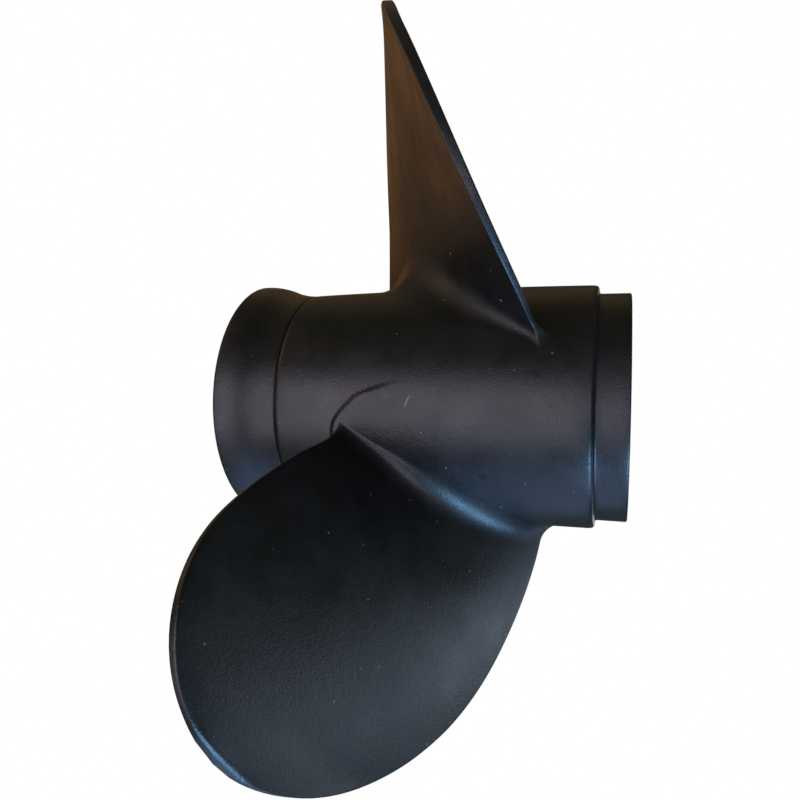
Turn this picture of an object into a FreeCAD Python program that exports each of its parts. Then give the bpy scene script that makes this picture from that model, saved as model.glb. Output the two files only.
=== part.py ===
import FreeCAD, Part
import math
import os
import Sketcher

# A right-hand, three-bladed outboard propeller with its exhaust led out through the hub.
#
# +X runs forward along the shaft and +Z is up. The origin is the centre of the shaft bore at the
# front face of the splined sleeve, where the motor's thrust washer seats. Lengths are millimetres
# and angles degrees. Around the shaft, 0 is +Y and 90 is straight up.

Vector = FreeCAD.Vector
AXIS = Vector(1, 0, 0)
BLADES = 3

# The driving dimensions. "_x" is a station along the shaft and "_r" a radius from its axis.
DIMENSIONS = {
    # outer barrel, from its front spigot back to the seam of the exhaust flare
    "spigot_front_x": 12.0,
    "spigot_edge_x": 11.4,
    "spigot_edge_r": 34.1,
    "spigot_r": 34.7,
    "spigot_foot_x": 3.4,
    "shoulder_x": 2.7,
    "shoulder_foot_r": 35.4,
    "shoulder_r": 36.1,
    "barrel_front_x": 1.5,
    "barrel_front_r": 37.27,
    "shoulder_foot_arc": 0.7,
    "shoulder_round": 1.2,
    "barrel_side_arc": 1885.0,
    "barrel_bore_r": 32.4,
    "barrel_aft_r": 36.1,
    "seam_front_x": -89.6,
    "seam_x": -90.0,
    "seam_r": 35.6,
    # exhaust flare, pressed into a counterbore in the aft end of the barrel
    "counterbore_x": -84.0,
    "counterbore_r": 34.0,
    "seam_aft_x": -90.4,
    "flare_swell_x": -101.0,
    "flare_swell_r": 38.2,
    "flare_rim_x": -109.2,
    "flare_rim_r": 39.5,
    "flare_mouth_r": 38.2,
    "flare_outer_arc": 28.0,
    "flare_rim_arc": 20.0,
    "flare_inner_arc": 40.0,
    # inner hub tube and the ribs that carry it
    "inner_hub_front_x": -3.0,
    "inner_hub_aft_x": -76.0,
    "inner_hub_r": 23.0,
    "inner_hub_bore_r": 19.05,
    "inner_hub_stop_x": -73.0,
    "inner_hub_stop_r": 15.5,
    "rib_front_x": -5.0,
    "rib_length": 69.0,
    "rib_half_width": 2.5,
    # rubber bush, with a running clearance of 0.05 in the inner hub
    "bush_front_x": -5.0,
    "bush_front_chamfer_x": -6.5,
    "bush_aft_chamfer_x": -71.2,
    "bush_aft_x": -72.7,
    "bush_r": 19.0,
    "bush_end_r": 17.5,
    "sleeve_r": 13.5,
    # splined sleeve: a plain land at the front, then ten teeth
    "sleeve_front_x": 0.0,
    "sleeve_edge_front_x": -0.8,
    "sleeve_edge_aft_x": -77.2,
    "sleeve_aft_x": -78.0,
    "sleeve_edge_r": 12.7,
    "land_r": 11.3,
    "land_aft_x": -14.0,
    "tooth_tip_r": 9.5,
    "tooth_gap_floor_r": 11.2,
    "tooth_gap_inner_r": 8.5,
    "tooth_gap_floor_half": 1.5,
    "tooth_gap_inner_half": 1.9,
    "spline_teeth": 10,
    # blades
    "tip_r": 125.7,
    "pitch": 279.4,
    "blade_line_x": -56.8,
    "rake": 9.4,
    "root_r": 37.4,
    "root_thickness": 6.8,
    "tip_thickness": 3.4,
    "lead_root_edge": 1.6,
    "lead_tip_edge": 3.3,
    "trail_edge": 2.0,
    "tip_slimming": 0.72,
    "back_fillet": 7.0,
    "face_fillet": 14.0,
    # working cylinder that trims the blades' roots back to the barrel
    "core_front_x": 50.0,
    "core_length": 200.0,
}

# The blade's outline: radius, angle of the leading edge and angle of the trailing edge.
OUTLINE = [
    (34.0, 146.0, 73.8),
    (37.4, 146.8, 74.4),
    (40.0, 147.0, 75.0),
    (44.0, 147.0, 75.3),
    (50.0, 146.6, 75.4),
    (60.0, 145.1, 75.3),
    (72.0, 142.2, 75.7),
    (84.0, 138.1, 76.4),
    (95.0, 132.5, 77.6),
    (104.0, 125.9, 79.4),
    (111.5, 119.1, 81.8),
    (117.5, 112.5, 84.7),
    (121.8, 106.6, 88.0),
    (124.4, 101.6, 91.4),
    (125.4, 98.6, 93.6),
]
# How full the root fillet is where it meets a blade edge, where the casting die cuts it off.
FILLET_AT_EDGE = 0.25
# How fast a blade thins outwards: 1 would be an even taper from root to tip.
TAPER_POWER = 0.7
# The part of the span beyond which the blade slims towards its tip.
SLIMMING_FROM = 0.88
# How much of the swell of a section lies ahead of the pitch surface at the root.
ROOT_SWELL_AHEAD = 0.36
CHORD_STEPS = 8
# The least distance off the hub, as a part of the fillet's radius, at which the fillet is curved.
FILLET_START = 0.06
# Sewing and repair tolerances for the lofted blade: working, smallest and largest.
REPAIR_TOLERANCES = (1e-4, 1e-4, 1e-3)

document = FreeCAD.newDocument("Propeller")


def make_sheet():
    """The spreadsheet of driving dimensions, one aliased cell each."""
    sheet = document.addObject("Spreadsheet::Sheet", "Sizes")
    for row, (alias, value) in enumerate(DIMENSIONS.items(), start=1):
        sheet.set(f"A{row}", alias)
        sheet.set(f"B{row}", str(value))
        sheet.setAlias(f"B{row}", alias)
    document.recompute()
    return sheet


sizes = make_sheet()


def size(alias):
    """The number in the sheet's cell of that name."""
    return float(sizes.get(alias))


def make_body(label):
    body = document.addObject("PartDesign::Body", label)
    body.Label = label
    body.Placement = FreeCAD.Placement()
    return body


def origin_feature(body, role):
    return next(f for f in body.Origin.OriginFeatures if f.Role == role)


def make_sketch(body, name, role):
    sketch = body.newObject("Sketcher::SketchObject", name)
    sketch.AttachmentSupport = [(origin_feature(body, role), "")]
    sketch.MapMode = "FlatFace"
    return sketch


def bind(sketch, constraint, name, alias):
    """Adds a named dimension to the sketch and drives it from the sheet."""
    index = sketch.addConstraint(constraint)
    sketch.renameConstraint(index, name)
    sketch.setExpression(f"Constraints.{name}", f"Sizes.{alias}")


def arc_between(start, end, radius, way):
    """The short arc from start to end, bulging to the left of that way if way is 1, else right.

    It is made anticlockwise about +Z, so it runs from end to start when it bulges to the left.
    """
    chord = end - start
    left = Vector(-chord.y, chord.x, 0).normalize()
    depth = math.sqrt(radius**2 - (chord.Length / 2) ** 2)
    centre = (start + end) / 2 - left * way * depth
    first, last = (end, start) if way == 1 else (start, end)
    angles = [math.atan2(point.y - centre.y, point.x - centre.x) for point in (first, last)]
    return Part.ArcOfCircle(Part.Circle(centre, Vector(0, 0, 1), radius), *angles)


def turned_body(label, corners):
    """A body of revolution about the shaft axis.

    Each corner of its half section is (station, radius, side): two aliases and what runs on from
    that corner. side is None for a straight line, or (alias of the arc's radius, 1 or -1), where 1
    bulges to the left of the way round.
    """
    body = make_body(label)
    sketch = make_sketch(body, f"{label}_section", "XZ_Plane")
    points = [Vector(size(along), size(radius), 0) for along, radius, _ in corners]
    for index, (_, _, side) in enumerate(corners):
        start, end = points[index], points[(index + 1) % len(points)]
        if side is None:
            sketch.addGeometry(Part.LineSegment(start, end), False)
        else:
            alias, way = side
            sketch.addGeometry(arc_between(start, end, size(alias), way), False)
    # An arc that bulges to the left was made backwards, so its second end is at its corner.
    first_ends = [2 if side is not None and side[1] == 1 else 1 for _, _, side in corners]
    for index, (along, radius, side) in enumerate(corners):
        following = (index + 1) % len(corners)
        last_end = 3 - first_ends[index]
        joined = Sketcher.Constraint("Coincident", index, last_end, following, first_ends[following])
        sketch.addConstraint(joined)
        place = points[index]
        across = Sketcher.Constraint("DistanceX", -1, 1, index, first_ends[index], place.x)
        up = Sketcher.Constraint("DistanceY", -1, 1, index, first_ends[index], place.y)
        bind(sketch, across, f"station_{index}", along)
        bind(sketch, up, f"radius_{index}", radius)
        if side is not None:
            bind(sketch, Sketcher.Constraint("Radius", index, size(side[0])), f"arc_{index}", side[0])
    turned = body.newObject("PartDesign::Revolution", f"{label}_turned")
    turned.Profile = sketch
    turned.ReferenceAxis = (sketch, ["H_Axis"])
    turned.Angle = 360
    document.recompute()
    return body


def make_barrel():
    """The outer barrel: front spigot, rounded shoulder, crowned side, counterbore."""
    return turned_body(
        "hub_barrel",
        [
            ("spigot_front_x", "barrel_bore_r", None),
            ("spigot_front_x", "spigot_edge_r", None),
            ("spigot_edge_x", "spigot_r", None),
            ("spigot_foot_x", "spigot_r", ("shoulder_foot_arc", 1)),
            ("shoulder_x", "shoulder_foot_r", None),
            ("shoulder_x", "shoulder_r", ("shoulder_round", -1)),
            ("barrel_front_x", "barrel_front_r", ("barrel_side_arc", -1)),
            ("seam_front_x", "barrel_aft_r", None),
            ("seam_x", "seam_r", None),
            ("seam_x", "counterbore_r", None),
            ("counterbore_x", "counterbore_r", None),
            ("counterbore_x", "barrel_bore_r", None),
        ],
    )


def make_flare():
    """The bell-mouthed exhaust ring: a plain spigot at the front, then an S-shaped flare."""
    return turned_body(
        "exhaust_flare",
        [
            ("counterbore_x", "barrel_bore_r", None),
            ("counterbore_x", "counterbore_r", None),
            ("seam_x", "counterbore_r", None),
            ("seam_x", "seam_r", None),
            ("seam_aft_x", "barrel_aft_r", ("flare_outer_arc", 1)),
            ("flare_swell_x", "flare_swell_r", ("flare_rim_arc", -1)),
            ("flare_rim_x", "flare_rim_r", None),
            ("flare_rim_x", "flare_mouth_r", ("flare_inner_arc", -1)),
            ("seam_x", "barrel_bore_r", None),
        ],
    )


def make_inner_hub():
    """The tube that holds the rubber bush, with a lip at its aft end that the bush seats against."""
    return turned_body(
        "inner_hub",
        [
            ("inner_hub_front_x", "inner_hub_bore_r", None),
            ("inner_hub_front_x", "inner_hub_r", None),
            ("inner_hub_aft_x", "inner_hub_r", None),
            ("inner_hub_aft_x", "inner_hub_stop_r", None),
            ("inner_hub_stop_x", "inner_hub_stop_r", None),
            ("inner_hub_stop_x", "inner_hub_bore_r", None),
        ],
    )


def make_bush():
    """The rubber bush, bonded to the sleeve, with chamfered ends."""
    return turned_body(
        "rubber_bush",
        [
            ("bush_front_x", "sleeve_r", None),
            ("bush_front_x", "bush_end_r", None),
            ("bush_front_chamfer_x", "bush_r", None),
            ("bush_aft_chamfer_x", "bush_r", None),
            ("bush_aft_x", "bush_end_r", None),
            ("bush_aft_x", "sleeve_r", None),
        ],
    )


def make_sleeve():
    """The drive sleeve: a tube with a plain land, then tooth gaps cut round its bore."""
    body = turned_body(
        "splined_sleeve",
        [
            ("sleeve_front_x", "land_r", None),
            ("sleeve_front_x", "sleeve_edge_r", None),
            ("sleeve_edge_front_x", "sleeve_r", None),
            ("sleeve_edge_aft_x", "sleeve_r", None),
            ("sleeve_aft_x", "sleeve_edge_r", None),
            ("sleeve_aft_x", "tooth_tip_r", None),
            ("land_aft_x", "tooth_tip_r", None),
            ("land_aft_x", "land_r", None),
        ],
    )
    solid_volume = body.Shape.Volume
    sketch = make_sketch(body, "tooth_gap", "YZ_Plane")
    corners = [
        ("tooth_gap_inner_half", -1, "tooth_gap_inner_r"),
        ("tooth_gap_inner_half", 1, "tooth_gap_inner_r"),
        ("tooth_gap_floor_half", 1, "tooth_gap_floor_r"),
        ("tooth_gap_floor_half", -1, "tooth_gap_floor_r"),
    ]
    points = [Vector(side * size(half), size(radius), 0) for half, side, radius in corners]
    for index, point in enumerate(points):
        sketch.addGeometry(Part.LineSegment(point, points[(index + 1) % 4]), False)
    for index, (half, side, radius) in enumerate(corners):
        sketch.addConstraint(Sketcher.Constraint("Coincident", index, 2, (index + 1) % 4, 1))
        height = Sketcher.Constraint("DistanceY", -1, 1, index, 1, size(radius))
        bind(sketch, height, f"radius_{index}", radius)
        if side > 0:
            across = Sketcher.Constraint("DistanceX", -1, 1, index, 1, size(half))
        else:
            across = Sketcher.Constraint("DistanceX", index, 1, -1, 1, size(half))
        bind(sketch, across, f"half_{index}", half)
    gap = body.newObject("PartDesign::Pocket", "tooth_gap_cut")
    gap.Profile = sketch
    gap.Type = "ThroughAll"
    gap.Midplane = True
    document.recompute()
    ring = body.newObject("PartDesign::PolarPattern", "tooth_gaps")
    ring.Originals = [gap]
    ring.Axis = (origin_feature(body, "X_Axis"), [""])
    ring.Angle = 360
    ring.setExpression("Occurrences", "Sizes.spline_teeth")
    body.Tip = ring
    document.recompute()
    if body.Shape.Volume >= solid_volume:
        raise RuntimeError("the tooth gaps cut nothing")
    return body


def make_rib(number):
    """A flat rib along the shaft, its ends rounded to meet the inner hub and the barrel."""
    body = make_body(f"rib_{number}")
    sketch = make_sketch(body, f"rib_{number}_section", "YZ_Plane")
    half = size("rib_half_width")
    inner, outer = size("inner_hub_r"), size("barrel_bore_r")
    low, high = math.sqrt(inner**2 - half**2), math.sqrt(outer**2 - half**2)
    tilt = [math.asin(half / radius) for radius in (inner, outer)]
    for radius, angle in zip((inner, outer), tilt):
        circle = Part.Circle(Vector(0, 0, 0), Vector(0, 0, 1), radius)
        right_angle = math.pi / 2
        sketch.addGeometry(Part.ArcOfCircle(circle, right_angle - angle, right_angle + angle), False)
    for side in (1, -1):
        line = Part.LineSegment(Vector(side * half, low, 0), Vector(side * half, high, 0))
        sketch.addGeometry(line, False)
    inner_arc, outer_arc, right_side, left_side = 0, 1, 2, 3
    for arc, line_end in ((inner_arc, 1), (outer_arc, 2)):
        sketch.addConstraint(Sketcher.Constraint("Coincident", arc, 3, -1, 1))
        sketch.addConstraint(Sketcher.Constraint("Coincident", arc, 1, right_side, line_end))
        sketch.addConstraint(Sketcher.Constraint("Coincident", arc, 2, left_side, line_end))
    sketch.addConstraint(Sketcher.Constraint("Vertical", right_side))
    sketch.addConstraint(Sketcher.Constraint("Vertical", left_side))
    bind(sketch, Sketcher.Constraint("Radius", inner_arc, inner), "inner", "inner_hub_r")
    bind(sketch, Sketcher.Constraint("Radius", outer_arc, outer), "outer", "barrel_bore_r")
    right = Sketcher.Constraint("DistanceX", -1, 1, right_side, 1, half)
    left = Sketcher.Constraint("DistanceX", left_side, 1, -1, 1, half)
    bind(sketch, right, "right_half", "rib_half_width")
    bind(sketch, left, "left_half", "rib_half_width")
    sketch.setExpression("AttachmentOffset.Base.z", "Sizes.rib_front_x")
    pad = body.newObject("PartDesign::Pad", f"rib_{number}_pad")
    pad.Profile = sketch
    pad.setExpression("Length", "Sizes.rib_length")
    pad.Reversed = True
    turn_about_shaft(body, number)
    document.recompute()
    return body


def turn_about_shaft(thing, number):
    """Places copy 1, 2 or 3 of something made upright."""
    angle = 360 / BLADES * (number - 1)
    thing.Placement = FreeCAD.Placement(Vector(), FreeCAD.Rotation(AXIS, angle))


def blend(start, end, part):
    return start + (end - start) * part


def ease(value):
    """0 to 1 with a soft start and a soft stop."""
    value = min(1.0, max(0.0, value))
    return value * value * (3 - 2 * value)


def fillet_height(radius, fillet):
    """How far a root fillet of that radius stands off the blade, at a distance out from the hub.

    It meets the hub at a small angle instead of flat, and runs straight on into the barrel wall.
    """
    first = FILLET_START * fillet
    beyond = radius - size("root_r") + first
    if beyond >= fillet:
        return 0.0
    rise = 1 - max(beyond, first) / fillet
    height = fillet * (1 - math.sqrt(1 - rise * rise))
    slope = rise / math.sqrt(1 - rise * rise)
    return height + max(0.0, first - beyond) * slope


def blade_point(radius, angle, offset):
    """A point at offset square to the pitch surface, in front of it if offset is positive."""
    tilt = math.atan2(size("pitch"), 2 * math.pi * radius)
    setback = math.tan(math.radians(size("rake"))) * (radius - size("root_r"))
    along = size("blade_line_x") + size("pitch") * (angle - 90) / 360 - setback
    turned = math.radians(angle) - offset * math.sin(tilt) / radius
    return Vector(
        along + offset * math.cos(tilt),
        radius * math.cos(turned),
        radius * math.sin(turned),
    )


def blade_section(radius, lead, trail):
    """The closed wire of a blade's section on the cylinder of that radius.

    Its leading edge lies behind the pitch surface and its trailing edge ahead of it. The section
    swells to both sides near the root, and only ahead further out, where the face is plain.
    """
    outward = (radius - size("root_r")) / (size("tip_r") - size("root_r"))
    slimmed = blend(1, size("tip_slimming"), ease((outward - SLIMMING_FROM) / (1 - SLIMMING_FROM)))
    lead_edge = blend(size("lead_root_edge"), size("lead_tip_edge"), outward) * slimmed
    trail_edge = size("trail_edge") * slimmed
    thickest = blend(size("root_thickness"), size("tip_thickness"), max(0.0, outward) ** TAPER_POWER)
    thickest *= slimmed
    lead_behind = blend(1.0, 0.5, ease((outward - SLIMMING_FROM) / (1 - SLIMMING_FROM)))
    swell_ahead = blend(ROOT_SWELL_AHEAD, 1.0, ease(outward * 2))
    face, back = [], []
    for step in range(CHORD_STEPS + 1):
        part = step / CHORD_STEPS
        fullness = 4 * part * (1 - part)
        swell = fullness * (thickest - blend(lead_edge, trail_edge, part))
        fillet_share = blend(FILLET_AT_EDGE, 1, fullness)
        angle = blend(lead, trail, part)
        behind = blend(lead_edge * lead_behind, 0, part) + swell * (1 - swell_ahead)
        ahead = blend(lead_edge * (1 - lead_behind), trail_edge, part) + swell * swell_ahead
        behind += fillet_share * fillet_height(radius, size("face_fillet"))
        ahead += fillet_share * fillet_height(radius, size("back_fillet"))
        face.append(blade_point(radius, angle, -behind))
        back.append(blade_point(radius, angle, ahead))
    face_curve, back_curve = Part.BSplineCurve(), Part.BSplineCurve()
    face_curve.interpolate(face)
    back_curve.interpolate(back[::-1])
    edges = [
        face_curve.toShape(),
        Part.LineSegment(face[-1], back[-1]).toShape(),
        back_curve.toShape(),
        Part.LineSegment(back[0], face[0]).toShape(),
    ]
    return Part.Wire(edges)


def end_cap(wire):
    """The ruled face across a section, from its face curve to its back curve."""
    face, _, back, _ = wire.Edges
    return Part.makeRuledSurface(face, back)


def make_blade_shape():
    """Blade 1, upright, cut off at the outside of the barrel."""
    wires = [blade_section(*station) for station in OUTLINE]
    side_faces = Part.makeLoft(wires, False, False).Faces
    shell = Part.makeShell(side_faces + [end_cap(wires[0]), end_cap(wires[-1])])
    shell.sewShape()
    blade = Part.makeSolid(shell)
    blade.fix(*REPAIR_TOLERANCES)
    if blade.Volume < 0:
        blade.reverse()
    return blade


def main():
    barrel = make_barrel()
    parts = [barrel, make_flare(), make_inner_hub(), make_bush(), make_sleeve()]
    parts += [make_rib(number) for number in range(1, BLADES + 1)]
    core_aft = Vector(size("core_front_x") - size("core_length"), 0, 0)
    core = Part.makeCylinder(size("seam_r"), size("core_length"), core_aft, AXIS)
    blade_shape = make_blade_shape().cut(core).cut(barrel.Shape)
    for number in range(1, BLADES + 1):
        blade = document.addObject("Part::Feature", f"blade_{number}")
        blade.Label = f"blade_{number}"
        blade.Shape = blade_shape
        turn_about_shaft(blade, number)
        parts.append(blade)
    document.recompute()
    for thing in document.Objects:
        if "Invalid" in thing.State or "Error" in thing.State:
            raise RuntimeError(f"{thing.Label} failed: {thing.State}")
    os.makedirs("parts", exist_ok=True)
    for part in parts:
        shape = part.Shape
        if shape.isNull() or not shape.isValid() or len(shape.Solids) != 1:
            raise RuntimeError(f"{part.Label} isn't one valid solid")
        shape.exportStep(f"parts/{part.Label}.step")
        box = shape.optimalBoundingBox(False, False)
        print(
            f"{part.Label}: {shape.Volume:.0f} mm3, x {box.XMin:.1f} to {box.XMax:.1f}, "
            f"y {box.YMin:.1f} to {box.YMax:.1f}, z {box.ZMin:.1f} to {box.ZMax:.1f}"
        )


main()
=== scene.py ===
import bmesh
import bpy
import math
from mathutils import Matrix, Vector


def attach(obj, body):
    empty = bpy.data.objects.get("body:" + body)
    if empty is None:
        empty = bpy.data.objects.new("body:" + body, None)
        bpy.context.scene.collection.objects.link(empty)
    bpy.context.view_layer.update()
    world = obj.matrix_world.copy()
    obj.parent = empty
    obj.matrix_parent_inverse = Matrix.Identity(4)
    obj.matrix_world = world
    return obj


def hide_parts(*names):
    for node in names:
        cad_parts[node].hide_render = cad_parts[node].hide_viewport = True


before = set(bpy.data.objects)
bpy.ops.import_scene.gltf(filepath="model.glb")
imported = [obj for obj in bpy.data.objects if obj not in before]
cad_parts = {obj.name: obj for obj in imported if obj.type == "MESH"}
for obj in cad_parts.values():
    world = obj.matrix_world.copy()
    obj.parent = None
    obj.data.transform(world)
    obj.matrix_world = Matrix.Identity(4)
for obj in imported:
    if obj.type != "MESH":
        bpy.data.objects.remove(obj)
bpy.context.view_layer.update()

# A three-bladed outboard propeller. Lengths below are millimetres until they reach a mesh, which is
# in metres. +X is forward along the shaft, and angles about it start at +Y, with 90 straight up.
# A station is a place along the shaft. Sections are lists of (station, radius) points.
MM = 0.001
BLADES = 3
TURN = 2 * math.pi / BLADES
MERGE_DISTANCE = 1e-7

# camera
CAMERA_PLACE = (8.3, -223.4, -4.1)
CAMERA_YAW, CAMERA_PITCH, CAMERA_ROLL = -17.37, 1.19, 1.63
LENS, SENSOR_WIDTH = 31.16, 36

# outer barrel, from its front spigot back to the seam of the flare
SPIGOT_FRONT, SPIGOT_R, SPIGOT_ROUND = 12.0, 34.7, 0.6
SHOULDER, SHOULDER_ROUND, SHOULDER_FOOT = 2.7, 1.2, 0.7
CROWN_AT, CROWN_R, SIDE_ARC = -20.0, 37.4, 1885.0
BARREL_BORE_R = 32.4
COUNTERBORE, COUNTERBORE_R = -84.0, 34.0
SEAM, SEAM_R = -90.0, 35.6

# exhaust flare
SWELL, SWELL_R = -101.0, 38.2
RIM, RIM_R, RIM_ROUND, MOUTH_R = -108.6, 39.5, 0.66, 38.2

# inner hub, ribs, rubber bush and splined sleeve
INNER_HUB_FRONT, INNER_HUB_AFT, INNER_HUB_R, INNER_HUB_BORE_R = -3.0, -76.0, 23.0, 19.05
LIP, LIP_R = -73.0, 15.5
INNER_HUB_ROUND = 0.8
RIB_FRONT, RIB_LENGTH, RIB_HALF_WIDTH, RIB_FILLET = -5.0, 69.0, 2.5, 2.4
RIB_INNER, RIB_OUTER = 22.9, 32.5
BUSH_FRONT, BUSH_AFT, BUSH_R, BUSH_SHRINK = -5.0, -72.7, 19.0, 1.7
SLEEVE_FRONT, SLEEVE_AFT, SLEEVE_R, SLEEVE_CHAMFER = 0.0, -78.0, 13.5, 0.8
LAND_AFT, LAND_R = -14.0, 11.3
TOOTH_FLOOR_R, TOOTH_TIP_R = 11.2, 9.5
TOOTH_PITCH, TOOTH_FOOT, TOOTH_FLANK = 36, 10.3, 2.9


def mm(point):
    return Vector(point) * MM


# ---------------------------------------------------------------- camera

def look_along(yaw, pitch, roll):
    """A camera's turn: yaw to the right of +Y, pitch up, then roll anticlockwise, in degrees."""
    yaw, pitch, roll = (math.radians(angle) for angle in (yaw, pitch, roll))
    flat = math.cos(pitch)
    ahead = Vector((math.sin(yaw) * flat, math.cos(yaw) * flat, math.sin(pitch)))
    level = Vector((math.cos(yaw), -math.sin(yaw), 0))
    upright = level.cross(ahead)
    right = level * math.cos(roll) + upright * math.sin(roll)
    above = upright * math.cos(roll) - level * math.sin(roll)
    return Matrix((right, above, -ahead)).transposed().to_4x4()


def make_camera():
    lens = bpy.data.cameras.new("camera")
    lens.sensor_width = SENSOR_WIDTH
    lens.lens = LENS
    lens.clip_start = 0.01
    camera = bpy.data.objects.new("camera", lens)
    bpy.context.collection.objects.link(camera)
    turn = look_along(CAMERA_YAW, CAMERA_PITCH, CAMERA_ROLL)
    camera.matrix_world = Matrix.Translation(mm(CAMERA_PLACE)) @ turn
    bpy.context.scene.camera = camera


make_camera()


# ---------------------------------------------------------------- shapes

def linked(name, mesh):
    piece = bpy.data.objects.new(name, mesh)
    bpy.context.collection.objects.link(piece)
    return piece


def finished(name, shape, crease=32):
    """A smooth-shaded piece from a bmesh. Corners sharper than crease degrees stay crisp."""
    bmesh.ops.recalc_face_normals(shape, faces=shape.faces[:])
    mesh = bpy.data.meshes.new(name)
    shape.to_mesh(mesh)
    shape.free()
    mesh.polygons.foreach_set("use_smooth", [True] * len(mesh.polygons))
    mesh.set_sharp_from_angle(angle=math.radians(crease))
    return linked(name, mesh)


def arc(start, end, radius, way, steps):
    """Points after start up to end on an arc, bulging left of that way if way is 1, else right."""
    start, end = Vector(start), Vector(end)
    chord = end - start
    left = Vector((-chord.y, chord.x)).normalized()
    depth = math.sqrt(radius**2 - (chord.length / 2) ** 2)
    centre = (start + end) / 2 - left * way * depth
    first = math.atan2(start.y - centre.y, start.x - centre.x)
    last = math.atan2(end.y - centre.y, end.x - centre.x)
    sweep = (last - first + math.pi) % (2 * math.pi) - math.pi
    angles = [first + sweep * step / steps for step in range(1, steps + 1)]
    return [(centre.x + radius * math.cos(a), centre.y + radius * math.sin(a)) for a in angles]


def turned(section, segments):
    """A bmesh spun once round the shaft from a closed section of (station, radius) points."""
    shape = bmesh.new()
    corners = [shape.verts.new(mm((along, 0, radius))) for along, radius in section]
    edges = [shape.edges.new((corners[i - 1], corners[i])) for i in range(len(corners))]
    bmesh.ops.spin(
        shape, geom=corners + edges, cent=(0, 0, 0), axis=(1, 0, 0), angle=2 * math.pi,
        steps=segments, use_merge=True, use_duplicate=False,
    )
    bmesh.ops.remove_doubles(shape, verts=shape.verts[:], dist=MERGE_DISTANCE)
    return shape


def barrel_radius(along):
    """The crowned side of the barrel, widest at the crown."""
    return CROWN_R - (along - CROWN_AT) ** 2 / (2 * SIDE_ARC)


# ---------------------------------------------------------------- blades

# A blade follows a screw surface of constant pitch, raked aft. Pairs of values: at root, at tip.
# "Ahead" is the forward, suction side of that surface and "behind" is the aft, pressure side.
# The blade outline: radius, angle of the leading edge, angle of the trailing edge.
OUTLINE = [
    (34.0, 146.0, 73.8),
    (37.4, 146.8, 74.4),
    (40.0, 147.0, 75.0),
    (44.0, 147.0, 75.3),
    (50.0, 146.6, 75.4),
    (60.0, 145.1, 75.3),
    (72.0, 142.2, 75.7),
    (84.0, 138.1, 76.4),
    (95.0, 132.5, 77.6),
    (104.0, 125.9, 79.4),
    (111.5, 119.1, 81.8),
    (117.5, 112.5, 84.7),
    (121.8, 106.6, 88.0),
    (124.4, 101.6, 91.4),
    (125.4, 98.6, 93.6),
]
TIP = (125.7, 96.1)
ROOT = 37.4
PITCH = 279.4
BLADE_LINE = -56.8
RAKE = math.tan(math.radians(9.4))
LEAD_EDGE = (1.6, 3.3)
TRAIL_EDGE = 2.0
THICKEST = (6.8, 3.4)
SLIMMEST_AT_TIP, SLIMMING_FROM = 0.72, 0.88
LEAD_BEHIND, LEAD_SHIFT_FROM = (1.0, 0.5), 0.84
ROOT_BULGE_AHEAD, ROOT_TRAIL_AHEAD = 0.36, 0.35
TIP_ROUND, EDGE_ROUND = 1.4, 0.4
LEAD_FILLET, TRAIL_FILLET = 5.2, 1.4
BACK_FILLET, FACE_FILLET_AT_EDGE, FACE_FILLET = 6.0, 3.0, 13.0
# Heights above the barrel between which rings stop following its side and become round.
FREE_FROM, FREE_OVER = 6, 10


def mix(start, end, part):
    return start + (end - start) * part


def clamp(value):
    return min(1.0, max(0.0, value))


def ease(value):
    value = clamp(value)
    return value * value * (3 - 2 * value)


def smooth_curve(knots, at):
    """A cubic through (place, value) knots in rising order, with slopes from their neighbours."""
    index = 0
    while index < len(knots) - 2 and knots[index + 1][0] < at:
        index += 1
    (x0, y0), (x1, y1) = knots[index], knots[index + 1]

    def slope(i):
        low, high = knots[max(i - 1, 0)], knots[min(i + 1, len(knots) - 1)]
        return (high[1] - low[1]) / (high[0] - low[0])

    width = x1 - x0
    t = (at - x0) / width
    return (
        y0 * (1 + 2 * t) * (1 - t) ** 2 + slope(index) * width * t * (1 - t) ** 2
        + y1 * t * t * (3 - 2 * t) + slope(index + 1) * width * t * t * (t - 1)
    )


def edge_knots(column):
    """An edge's angle against the root of the distance to the tip, where it is a smooth line."""
    knots = [(0.0, TIP[1])]
    for row in reversed(OUTLINE):
        knots.append((math.sqrt(TIP[0] - row[0]), row[column]))
    return knots


LEAD, TRAIL = edge_knots(1), edge_knots(2)


def edge_angles(radius):
    """The angles of a blade's leading and trailing edges at a radius."""
    back_from_tip = math.sqrt(max(TIP[0] - radius, 0))
    return smooth_curve(LEAD, back_from_tip), smooth_curve(TRAIL, back_from_tip)


# The parting line of the casting dies on the barrel, as (angle past a blade's line, station) knots
# in rising angle. It runs from near the neighbouring blade's leading edge to a trailing edge.
PARTING = [
    (37.5, -11.7), (45.0, -26.0), (51.5, -49.0), (54.9, -56.8), (58.2, -62.1),
    (61.4, -64.6), (65.1, -67.0), (69.8, -69.3), (74.4, -70.2),
]
PARTING_RISE, PARTING_BLUR = 0.65, 1.1
PARTING_AFT, PARTING_FRONT = -75, -45


def parting_step(along, angle):
    """How far the barrel stands proud of its plain side, where one die half closed a little out."""
    past_line = math.degrees(angle) % 120
    if past_line < PARTING[0][0] or not PARTING_AFT < along < PARTING_FRONT:
        return 0.0
    line = smooth_curve(PARTING, min(past_line, PARTING[-1][0])) - 1.0
    inside = ease((along - line) / PARTING_BLUR + 0.5)
    fade = (1 - ease((along + 66) / 17)) * (1 - ease((past_line - 76) / 14))
    return PARTING_RISE * inside * fade


def fillet(height, radius):
    """How far a quarter-round of that radius stands off, at a height above what it meets."""
    rise = clamp(1 - height / radius)
    return radius * (1 - math.sqrt(1 - rise * rise))


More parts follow.
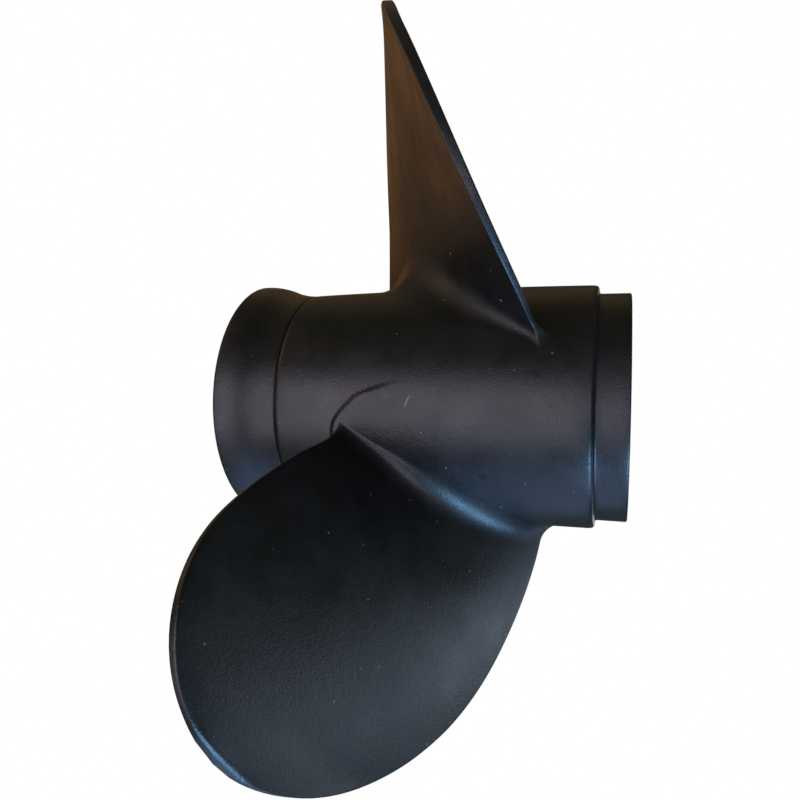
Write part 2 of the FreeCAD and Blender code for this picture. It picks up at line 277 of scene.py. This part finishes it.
def on_blade(height, lead, along_chord, offset):
    """A point along_chord back from the edge at angle lead, offset ahead of the pitch surface."""
    radius = ROOT + height
    lean = math.atan2(PITCH, 2 * math.pi * radius)
    angle = math.radians(lead) - along_chord * math.cos(lean) / radius
    setback = RAKE * (radius - ROOT)
    station = BLADE_LINE + PITCH * (math.degrees(angle) - 90) / 360 - setback
    station += offset * math.cos(lean)
    angle -= offset * math.sin(lean) / radius
    on_barrel = barrel_radius(station) + parting_step(station, angle) + height
    out = mix(on_barrel, radius, ease((height - FREE_FROM) / FREE_OVER))
    return mm((station, out * math.cos(angle), out * math.sin(angle)))


def chord_stops(length, corner, rounds=5, spans=64):
    """Places along a section of that length, close together round its two corners."""
    rounded = [corner * (1 - math.cos(math.pi / 2 * i / rounds)) for i in range(rounds)]
    stops = rounded + [mix(corner, length - corner, i / spans) for i in range(spans + 1)]
    return stops + [length - stop for stop in reversed(rounded)]


def blade_ring(height):
    """One ring of a blade's skin, height above the barrel at the root: its face, then its back."""
    radius = ROOT + height
    above = max(height, 0.0)
    lead, trail = edge_angles(max(radius, OUTLINE[0][0]))
    outward = above / (TIP[0] - ROOT)
    lean = math.atan2(PITCH, 2 * math.pi * radius)
    chord = math.radians(lead - trail) * radius / math.cos(lean)
    slimmed = mix(1, SLIMMEST_AT_TIP, ease((outward - SLIMMING_FROM) / (1 - SLIMMING_FROM)))
    lead_edge = mix(*LEAD_EDGE, outward) * slimmed
    trail_edge = TRAIL_EDGE * slimmed
    thickest = mix(*THICKEST, outward ** 0.7) * slimmed
    lead_behind = mix(*LEAD_BEHIND, ease((outward - LEAD_SHIFT_FROM) / (1 - LEAD_SHIFT_FROM)))
    bulge_ahead = mix(ROOT_BULGE_AHEAD, 1.0, ease(outward * 2))
    trail_ahead = trail_edge * mix(ROOT_TRAIL_AHEAD, 1.0, ease(outward * 3))
    into_tip = clamp((radius - (TIP[0] - TIP_ROUND)) / TIP_ROUND)
    thin = math.sqrt(1 - into_tip**2 * 0.9)
    corner = min(EDGE_ROUND, chord / 4)
    lead_out, trail_out = fillet(above, LEAD_FILLET), fillet(above, TRAIL_FILLET)
    length = chord + lead_out + trail_out
    face, back = [], []
    for stop in chord_stops(length, corner):
        part = clamp((stop - lead_out) / chord)
        bulge = 4 * part * (1 - part) * (thickest - mix(lead_edge, trail_edge, part))
        from_end = min(stop, length - stop)
        inset = corner - math.sqrt(max(corner**2 - max(corner - from_end, 0) ** 2, 0))
        behind = mix(lead_edge * lead_behind, trail_edge - trail_ahead, part)
        ahead = mix(lead_edge * (1 - lead_behind), trail_ahead, part)
        behind = (behind + bulge * (1 - bulge_ahead)) * thin - inset
        ahead = (ahead + bulge * bulge_ahead) * thin - inset
        face_share = ease(min(part / 0.6, (1 - part) / 0.3))
        back_share = mix(0.2, 1, ease(part / 0.16)) * mix(0.4, 1, ease((1 - part) / 0.5))
        behind += fillet(above, mix(FACE_FILLET_AT_EDGE, FACE_FILLET, face_share))
        ahead += back_share * fillet(above, BACK_FILLET)
        face.append(on_blade(height, lead, stop - lead_out, -behind))
        back.append(on_blade(height, lead, stop - lead_out, ahead))
    return face + back[::-1]


def blade_heights():
    """Heights of the rings: in the wall, through the fillet, up the blade, then round the tip."""
    span = TIP[0] - ROOT
    fillet_top, tip_depth = 15.0, 6
    wall = [-1.6]
    root = [fillet_top * (1 - math.cos(math.pi / 2 * i / 26)) for i in range(26)]
    blade = [mix(fillet_top, span - tip_depth, i / 50) for i in range(51)]
    tip = [span - tip_depth * math.cos(math.pi / 2 * i / 22) for i in range(1, 22)]
    return wall + root + blade + tip + [span - 0.004]


def wrapped(rings):
    """A grid wrapped through rings of points into a tube, with its seam and both ends closed."""
    around = len(rings[0])
    shape = bmesh.new()
    bmesh.ops.create_grid(shape, x_segments=around, y_segments=len(rings) - 1, size=1)
    shape.verts.ensure_lookup_table()
    for index, vert in enumerate(shape.verts):
        row, column = divmod(index, around + 1)
        vert.co = rings[row][column % around]
    bmesh.ops.remove_doubles(shape, verts=shape.verts[:], dist=MERGE_DISTANCE)
    rims = [edge for edge in shape.edges if edge.is_boundary]
    bmesh.ops.holes_fill(shape, edges=rims, sides=0)
    return shape


def turn_to(shape, number):
    """Turns a bmesh round the shaft from the first blade's place to that blade's."""
    turn = Matrix.Rotation(TURN * (number - 1), 3, "X")
    bmesh.ops.rotate(shape, verts=shape.verts[:], cent=(0, 0, 0), matrix=turn)


def make_blade(number):
    """A blade whose root flows into the barrel, closed inside the barrel's wall and at its tip."""
    shape = wrapped([blade_ring(height) for height in blade_heights()])
    turn_to(shape, number)
    return finished(f"blade_{number}_skin", shape)


# ---------------------------------------------------------------- hub and drive

def run(start, end, spacing):
    """Evenly spaced points after start up to end."""
    start, end = Vector(start), Vector(end)
    steps = max(1, round((end - start).length / spacing))
    return [tuple(start.lerp(end, step / steps)) for step in range(1, steps + 1)]


def make_barrel():
    """The barrel: plain spigot, rounded shoulder, crowned side, flare seam."""
    edge_r = SPIGOT_R - SPIGOT_ROUND
    foot = (SHOULDER + SHOULDER_FOOT, SPIGOT_R)
    front_r = 37.2
    section = [(SPIGOT_FRONT, BARREL_BORE_R + 0.4), (SPIGOT_FRONT, edge_r)]
    corner = (SPIGOT_FRONT - SPIGOT_ROUND, SPIGOT_R)
    section += arc((SPIGOT_FRONT, edge_r), corner, SPIGOT_ROUND, -1, 5) + run(corner, foot, 2.0)
    section += arc(foot, (SHOULDER, SPIGOT_R + SHOULDER_FOOT), SHOULDER_FOOT, 1, 5)
    section += [(SHOULDER, front_r - SHOULDER_ROUND)]
    front = (SHOULDER - SHOULDER_ROUND, front_r)
    section += arc((SHOULDER, front_r - SHOULDER_ROUND), front, SHOULDER_ROUND, -1, 8)
    fine, fine_from, fine_length = 0.45, -20.0, 54
    stations = [0.9, -3.0, -8.0, -14.0, -19.0]
    stations += [fine_from - fine * step for step in range(round(fine_length / fine))]
    stations += [-77.0, -81.0, -85.0, -88.5]
    section += [(along, barrel_radius(along)) for along in stations]
    section += [(SEAM + 0.5, 36.08), (SEAM + 0.2, 35.9), (SEAM, SEAM_R)]
    section += [(SEAM, COUNTERBORE_R), (COUNTERBORE, COUNTERBORE_R), (COUNTERBORE, BARREL_BORE_R)]
    section += run((COUNTERBORE, BARREL_BORE_R), (SPIGOT_FRONT - 0.4, BARREL_BORE_R), 12)
    shape = turned(section, 360)
    outside = 35.9
    for vert in shape.verts:
        along, across, up = vert.co / MM
        radius = math.hypot(across, up)
        if radius > outside and PARTING_AFT < along < fine_from:
            proud = parting_step(along, math.atan2(up, across))
            vert.co.yz *= 1 + proud / radius
    return finished("hub_barrel_cast", shape)


def make_flare():
    """The bell-mouthed ring, with a fine seam at its front and a thin rounded rim."""
    section = [(COUNTERBORE, BARREL_BORE_R), (COUNTERBORE, COUNTERBORE_R)]
    section += [(SEAM, COUNTERBORE_R), (SEAM, SEAM_R), (SEAM - 0.2, 35.9), (SEAM - 0.5, 36.05)]
    section += arc((SEAM - 0.5, 36.05), (SWELL, SWELL_R), 28.0, 1, 16)
    section += arc((SWELL, SWELL_R), (RIM, RIM_R), 20.0, -1, 14)
    section += arc((RIM, RIM_R), (RIM, MOUTH_R), RIM_ROUND, -1, 8)
    section += arc((RIM, MOUTH_R), (SEAM, BARREL_BORE_R), 40.0, -1, 16)
    return finished("exhaust_flare_ring", turned(section, 256))


def make_inner_hub():
    """The tube round the rubber bush, with soft ends and the lip that the bush seats against."""
    front, aft, side, soft = INNER_HUB_FRONT, INNER_HUB_AFT, INNER_HUB_R, INNER_HUB_ROUND
    end = side - soft
    section = [(front, 19.5), (front, end)] + arc((front, end), (front - soft, side), soft, -1, 5)
    section += run((front - soft, side), (aft + soft, side), 12)
    section += arc((aft + soft, side), (aft, end), soft, -1, 5)
    section += [(aft, LIP_R + 0.5), (aft + 0.5, LIP_R), (LIP, LIP_R)]
    section += [(LIP, INNER_HUB_BORE_R), (front - 0.5, INNER_HUB_BORE_R)]
    return finished("inner_hub_cast", turned(section, 128))


def make_rib(number):
    """A rib between the two tubes, flaring into each of them through a cast fillet."""
    side = []
    for step in range(9):
        rise = RIB_FILLET * (1 - math.cos(math.pi / 2 * step / 8))
        side.append((RIB_HALF_WIDTH + fillet(rise, RIB_FILLET), RIB_INNER + rise))
    side += [(across, RIB_INNER + RIB_OUTER - up) for across, up in reversed(side)]
    rounded = []
    for across, up in side:
        on_inner_hub = up < 27
        rounded.append((across, math.sqrt(up**2 - across**2) if on_inner_hub else up))
    outline = rounded + [(-across, up) for across, up in reversed(rounded)]
    shape = bmesh.new()
    corners = [shape.verts.new(mm((RIB_FRONT, across, up))) for across, up in outline]
    end = shape.faces.new(corners)
    pulled = bmesh.ops.extrude_face_region(shape, geom=[end])
    moved = [item for item in pulled["geom"] if isinstance(item, bmesh.types.BMVert)]
    bmesh.ops.translate(shape, verts=moved, vec=mm((-RIB_LENGTH, 0, 0)))
    turn_to(shape, number)
    return finished(f"rib_{number}_cast", shape)


def make_bush():
    """The moulded rubber bush, with rounded ends."""
    front, aft, side, soft = BUSH_FRONT, BUSH_AFT, BUSH_R, 2.0
    end = side - BUSH_SHRINK
    section = [(front, SLEEVE_R), (front, end)]
    section += arc((front, end), (front - BUSH_SHRINK, side), soft, -1, 8)
    section += run((front - BUSH_SHRINK, side), (aft + BUSH_SHRINK, side), 10)
    section += arc((aft + BUSH_SHRINK, side), (aft, end), soft, -1, 8) + [(aft, SLEEVE_R)]
    return finished("rubber_bush_moulded", turned(section, 128))


def tooth_rise(angle):
    """How much of a spline tooth's height there is at an angle about the shaft."""
    from_tooth = abs((math.degrees(angle) - 90) % TOOTH_PITCH - TOOTH_PITCH / 2)
    return clamp((TOOTH_FOOT - from_tooth) / TOOTH_FLANK)


def make_sleeve():
    """The drive sleeve: chamfered ends, a plain land at the front and ten teeth behind it."""
    front, aft, side, chamfer = SLEEVE_FRONT, SLEEVE_AFT, SLEEVE_R, SLEEVE_CHAMFER
    section = [(front - 0.4, LAND_R), (front, LAND_R + 0.4), (front, side - chamfer)]
    section += [(front - chamfer, side)] + run((front - chamfer, side), (aft + chamfer, side), 16)
    section += [(aft, side - chamfer), (aft, TOOTH_FLOOR_R + 0.4), (aft + 0.6, TOOTH_FLOOR_R)]
    section += run((aft + 0.6, TOOTH_FLOOR_R), (LAND_AFT - 0.6, TOOTH_FLOOR_R), 16)
    section += [(LAND_AFT, LAND_R)]
    shape = turned(section, 360)
    for vert in shape.verts:
        along, across, up = vert.co / MM
        radius = math.hypot(across, up)
        if radius < TOOTH_FLOOR_R + 0.01:
            into = tooth_rise(math.atan2(up, across)) * (TOOTH_FLOOR_R - TOOTH_TIP_R)
            vert.co.yz *= 1 - into / radius
    return finished("splined_sleeve_cut", shape)


# ---------------------------------------------------------------- assembly

def ride_and_replace(piece, body, node):
    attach(piece, body)
    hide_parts(node)
    return piece


def on_propeller(piece, node):
    return ride_and_replace(piece, "propeller", node)


casting = [on_propeller(make_barrel(), "hub_barrel"), on_propeller(make_inner_hub(), "inner_hub")]
flare = on_propeller(make_flare(), "exhaust_flare")
for number in range(1, BLADES + 1):
    casting.append(on_propeller(make_blade(number), f"blade_{number}"))
    casting.append(on_propeller(make_rib(number), f"rib_{number}"))
bush = ride_and_replace(make_bush(), "drive_hub", "rubber_bush")
sleeve = ride_and_replace(make_sleeve(), "drive_hub", "splined_sleeve")


# ---------------------------------------------------------------- materials

class Wire:
    """A shader socket that does maths: each operator adds a Math node."""

    def __init__(self, tree, socket):
        self.tree = tree
        self.socket = socket

    def _maths(self, operation, *values):
        node = self.tree.nodes.new("ShaderNodeMath")
        node.operation = operation
        for put, value in zip(node.inputs, values):
            if isinstance(value, Wire):
                self.tree.links.new(value.socket, put)
            else:
                put.default_value = value
        return Wire(self.tree, node.outputs[0])

    def __add__(self, other):
        return self._maths("ADD", self, other)

    def __radd__(self, other):
        return self._maths("ADD", other, self)

    def __sub__(self, other):
        return self._maths("SUBTRACT", self, other)

    def __rsub__(self, other):
        return self._maths("SUBTRACT", other, self)

    def __mul__(self, other):
        return self._maths("MULTIPLY", self, other)

    def __rmul__(self, other):
        return self._maths("MULTIPLY", other, self)

    def __truediv__(self, other):
        return self._maths("DIVIDE", self, other)

    def __rtruediv__(self, other):
        return self._maths("DIVIDE", other, self)

    def __gt__(self, other):
        return self._maths("GREATER_THAN", self, other)

    def __lt__(self, other):
        return self._maths("LESS_THAN", self, other)


class Finish:
    """A material under construction, with one method for any node."""

    def __init__(self, name):
        self.material = bpy.data.materials.new(name)
        self.material.use_nodes = True
        self.tree = self.material.node_tree
        self.shader = self.tree.nodes["Principled BSDF"]
        self.place = self.node("TexCoord", out="Object")

    def node(self, kind, settings=None, out=0, **inputs):
        """Adds a node. An input goes by its name, or by i and its number."""
        made = self.tree.nodes.new("ShaderNode" + kind)
        for name, value in (settings or {}).items():
            setattr(made, name, value)
        for name, value in inputs.items():
            put = made.inputs[int(name[1:])] if name[1:].isdigit() else made.inputs[name]
            if isinstance(value, Wire):
                self.tree.links.new(value.socket, put)
            else:
                put.default_value = value
        return Wire(self.tree, made.outputs[out])

    def feed(self, name, value):
        """Gives the shader's socket of that name a wire or a constant."""
        if isinstance(value, Wire):
            self.tree.links.new(value.socket, self.shader.inputs[name])
        else:
            self.shader.inputs[name].default_value = value

    def noise(self, scale, detail=3.0, roughness=0.5):
        return self.node(
            "TexNoise", Vector=self.place, Scale=scale, Detail=detail, Roughness=roughness,
        )


def blend_colours(finish, share, low, high):
    low, high = [value if isinstance(value, Wire) else (*value, 1) for value in (low, high)]
    return finish.node("Mix", {"data_type": "RGBA"}, out=2, i0=share, i6=low, i7=high)


def specks(finish, spacing, size, share):
    """Sparse round specks, 1 inside and 0 outside, in that share of the cells, spacing mm apart."""
    cells = {"Vector": finish.place, "Scale": 1000 / spacing}
    distance = finish.node("TexVoronoi", **cells)
    chance = finish.node("SeparateColor", i0=finish.node("TexVoronoi", out=1, **cells))
    return (distance < size / spacing * (0.4 + chance / share * 0.6)) * (chance < share)


def mark(finish, at, turned, half_size, ragged=0.0):
    """A small mark: 1 inside a lens at that place and turn, and 0 outside, with a ragged rim."""
    own = finish.node(
        "Mapping", {"vector_type": "TEXTURE"}, Vector=finish.place,
        Location=mm(at), Rotation=[math.radians(angle) for angle in turned], Scale=mm(half_size),
    )
    away = finish.node("VectorMath", {"operation": "LENGTH"}, out=1, i0=own)
    return away + (finish.noise(900, 2) - 0.5) * ragged < 1.0


def satin_paint(name, dusty):
    """Black satin paint over cast metal: cloudy gloss, orange peel, dust, a nick and a pit."""
    finish = Finish(name)
    clouds = finish.noise(34, 3, 0.6)
    streaks = finish.noise(110, 5, 0.65)
    peel = finish.noise(520, 2)
    grain = finish.noise(1900, 2)
    dust = specks(finish, 3.2, 0.27, 0.4) + specks(finish, 8.0, 0.45, 0.2)
    nick = mark(finish, (-48.0, -37.3, -0.3), (0, -68, 0), (1.9, 1.2, 0.2))
    pit = mark(finish, (-27.2, -30.9, -20.9), (0, 14, 0), (1.9, 2.0, 0.9), ragged=1.4)
    film = (clouds * 0.65 + streaks * 0.35 - 0.5) * 2.2 + 0.5
    black = blend_colours(finish, film, (0.0010, 0.0011, 0.0013), (0.010, 0.009, 0.009))
    dull = blend_colours(finish, (dust + nick) * dusty, black, (0.15, 0.14, 0.13))
    finish.feed("Base Color", blend_colours(finish, pit, dull, (0.001, 0.001, 0.001)))
    finish.feed("Roughness", 0.22 + film * 0.28 + grain * 0.1 + dust * 0.25 + pit * 0.4)
    height = peel * 0.3 + grain * 0.45 + streaks * 0.35 - pit * 1.5
    finish.feed("Normal", finish.node("Bump", Height=height, Strength=0.35, Distance=0.0004))
    return finish.material


def moulded_rubber():
    """Black rubber with a dry bloom and fine flow marks."""
    finish = Finish("moulded_rubber")
    bloom = finish.noise(60, 5, 0.6)
    grain = finish.noise(1500, 3)
    rubber = blend_colours(finish, bloom, (0.012, 0.012, 0.012), (0.035, 0.034, 0.032))
    finish.feed("Base Color", rubber)
    finish.feed("Roughness", 0.62 + bloom * 0.2 + grain * 0.08)
    height = grain * 0.7 + bloom * 0.3
    finish.feed("Normal", finish.node("Bump", Height=height, Strength=0.3, Distance=0.0003))
    return finish.material


def cut_bronze():
    """Machined bronze: fine tool marks round the shaft, and tarnish in patches."""
    finish = Finish("cut_bronze")
    marks = finish.node(
        "TexWave", {"wave_type": "BANDS", "bands_direction": "X"}, out=1,
        Vector=finish.place, Scale=900.0, Distortion=1.5, Detail=2.0,
    )
    tarnish = finish.noise(70, 5, 0.6)
    finish.feed("Metallic", 1.0)
    bronze = blend_colours(finish, tarnish, (0.62, 0.42, 0.19), (0.40, 0.25, 0.11))
    finish.feed("Base Color", bronze)
    finish.feed("Roughness", 0.26 + tarnish * 0.22 + marks * 0.05)
    finish.feed("Normal", finish.node("Bump", Height=marks * 0.6, Strength=0.15, Distance=0.0002))
    return finish.material


def coat(pieces, material):
    for piece in pieces:
        piece.data.materials.append(material)


coat(casting, satin_paint("satin_black_paint", 0.8))
coat([flare], satin_paint("satin_black_flare_paint", 0.7))
coat([bush], moulded_rubber())
coat([sleeve], cut_bronze())


# ---------------------------------------------------------------- stage and light

def glow(name, colour):
    """A material that shines evenly with a colour."""
    material = bpy.data.materials.new(name)
    material.use_nodes = True
    tree = material.node_tree
    tree.nodes.clear()
    light = tree.nodes.new("ShaderNodeEmission")
    light.inputs["Color"].default_value = (*colour, 1)
    tree.links.new(light.outputs[0], tree.nodes.new("ShaderNodeOutputMaterial").inputs[0])
    return material


def make_sweep():
    """A pale floor that curves up all round into a backdrop, clear of the blades in every pose."""
    floor, level, bend, top = -112.0, 1200.0, 600.0, 2200.0
    section = [(0.0, floor), (level, floor)]
    section += arc((level, floor), (level + bend, bend + floor), bend, -1, 16)
    section += [(level + bend, top)]
    shape = bmesh.new()
    corners = [shape.verts.new(mm((out, 0, up))) for out, up in section]
    edges = [shape.edges.new(pair) for pair in zip(corners, corners[1:])]
    bmesh.ops.spin(
        shape, geom=corners + edges, cent=(0, 0, 0), axis=(0, 0, 1), angle=2 * math.pi,
        steps=96, use_merge=True, use_duplicate=False,
    )
    bmesh.ops.remove_doubles(shape, verts=shape.verts[:], dist=MERGE_DISTANCE)
    sweep = finished("floor_sweep", shape, 180)
    sweep.data.materials.append(glow("pale_floor", (1, 1, 1)))
    sweep.visible_glossy = False
    sweep.visible_diffuse = False
    sweep.visible_shadow = False


def soft_box(name, place, aim, wide, high, colour, power):
    """A soft rectangular light at a place, aimed at a point, with its power in watts."""
    light = bpy.data.lights.new(name, "AREA")
    light.shape = "RECTANGLE"
    light.size, light.size_y = wide * MM, high * MM
    light.color = colour
    light.energy = power
    lamp = bpy.data.objects.new(name, light)
    bpy.context.collection.objects.link(lamp)
    turn = (mm(aim) - mm(place)).to_track_quat("-Z", "Y").to_matrix().to_4x4()
    lamp.matrix_world = Matrix.Translation(mm(place)) @ turn


make_sweep()
# The first eight light what the camera sees, and the last is mostly for the far side.
soft_box("front_wall", (-470, -1230, -210), (-50, 0, 0), 1070, 1350, (0.90, 0.83, 1.0), 13.1)
soft_box("right_wall", (540, -1120, -20), (-40, 0, 0), 420, 420, (0.80, 0.78, 1.0), 2.6)
soft_box("warm_wall", (-720, 780, 330), (-50, 0, 60), 800, 600, (1.0, 0.32, 0.05), 0.44)
soft_box("ceiling", (-250, 560, 900), (-50, 0, 0), 800, 500, (1.0, 0.50, 0.26), 0.27)
soft_box("aft_fill", (-900, -260, 520), (-60, 0, 0), 600, 500, (1.0, 0.66, 0.40), 0.8)
soft_box("blue_floor", (-150, -60, -1050), (-50, 0, 0), 1000, 900, (0.38, 0.56, 1.0), 4.0)
soft_box("blue_corner", (570, -480, -900), (-30, 0, 0), 480, 420, (0.26, 0.58, 1.0), 18.0)
soft_box("side_fill", (1020, 600, -430), (-40, 0, -60), 860, 560, (0.64, 0.78, 1.0), 3.3)
soft_box("back_wall", (580, 1160, -40), (-50, 0, 0), 400, 800, (0.94, 0.96, 1.0), 5.0)

world = bpy.data.worlds.new("room")
bpy.context.scene.world = world
world.use_nodes = True
room = world.node_tree.nodes["Background"]
room.inputs["Color"].default_value = (0.08, 0.082, 0.05, 1)
bpy.context.scene.view_settings.view_transform = "Standard"
